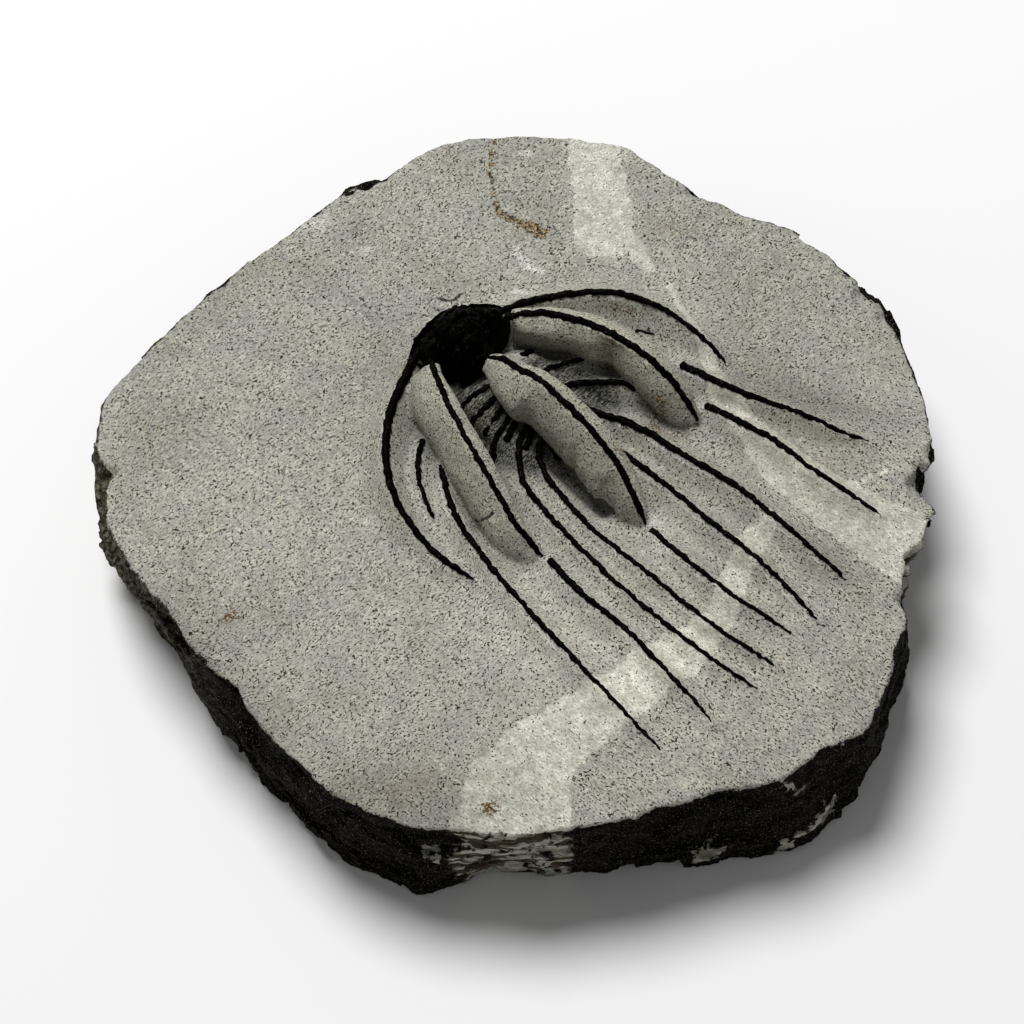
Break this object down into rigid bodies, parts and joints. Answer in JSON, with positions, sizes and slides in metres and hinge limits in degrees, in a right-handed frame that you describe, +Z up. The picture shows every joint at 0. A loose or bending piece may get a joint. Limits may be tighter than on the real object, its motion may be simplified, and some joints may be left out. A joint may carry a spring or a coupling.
{
  "type": "trilobite fossil",
  "caption": "Spiny trilobite fossil on its limestone slab, with long dark spines on low ridges and tall thin fins of rock.",
  "frame": {"origin": "on the flat underside, below the middle of the slab", "axes": "+Z up out of the slab, +X along its longest side; the head points to -X +Y and the tail spines to +X -Y"},
  "size_m": [0.1327, 0.1258, 0.036],
  "materials": {
    "limestone": "matte grey limestone, finely scribed on top and rough and nearly black on the broken sides",
    "fossil": "black calcite, finely granular with a faint sheen"
  },
  "bodies": {
    "root": {"matrix": "limestone", "head_shield": "fossil", "genal_spine_left": "fossil", "genal_spine_right": "fossil", "side_spine_left": "fossil", "fan_spine_1": "fossil", "fan_spine_2": "fossil", "fan_spine_3": "fossil", "fan_spine_4": "fossil", "fan_spine_5": "fossil", "fan_spine_6": "fossil", "fan_spine_7": "fossil", "fan_spine_8": "fossil", "fan_spine_9": "fossil", "hollow_spine_lower": "fossil", "hollow_spine_upper": "fossil", "fin_spine_left": "fossil", "fin_spine_middle": "fossil", "fin_spine_right": "fossil", "thorax_rib_1": "fossil", "thorax_rib_2": "fossil", "thorax_rib_3": "fossil", "thorax_rib_4": "fossil", "thorax_rib_5": "fossil", "thorax_rib_6": "fossil", "thorax_rib_7": "fossil", "rib_stub_right": "fossil", "spine_fragment": "fossil"}
  },
  "joints": []
}
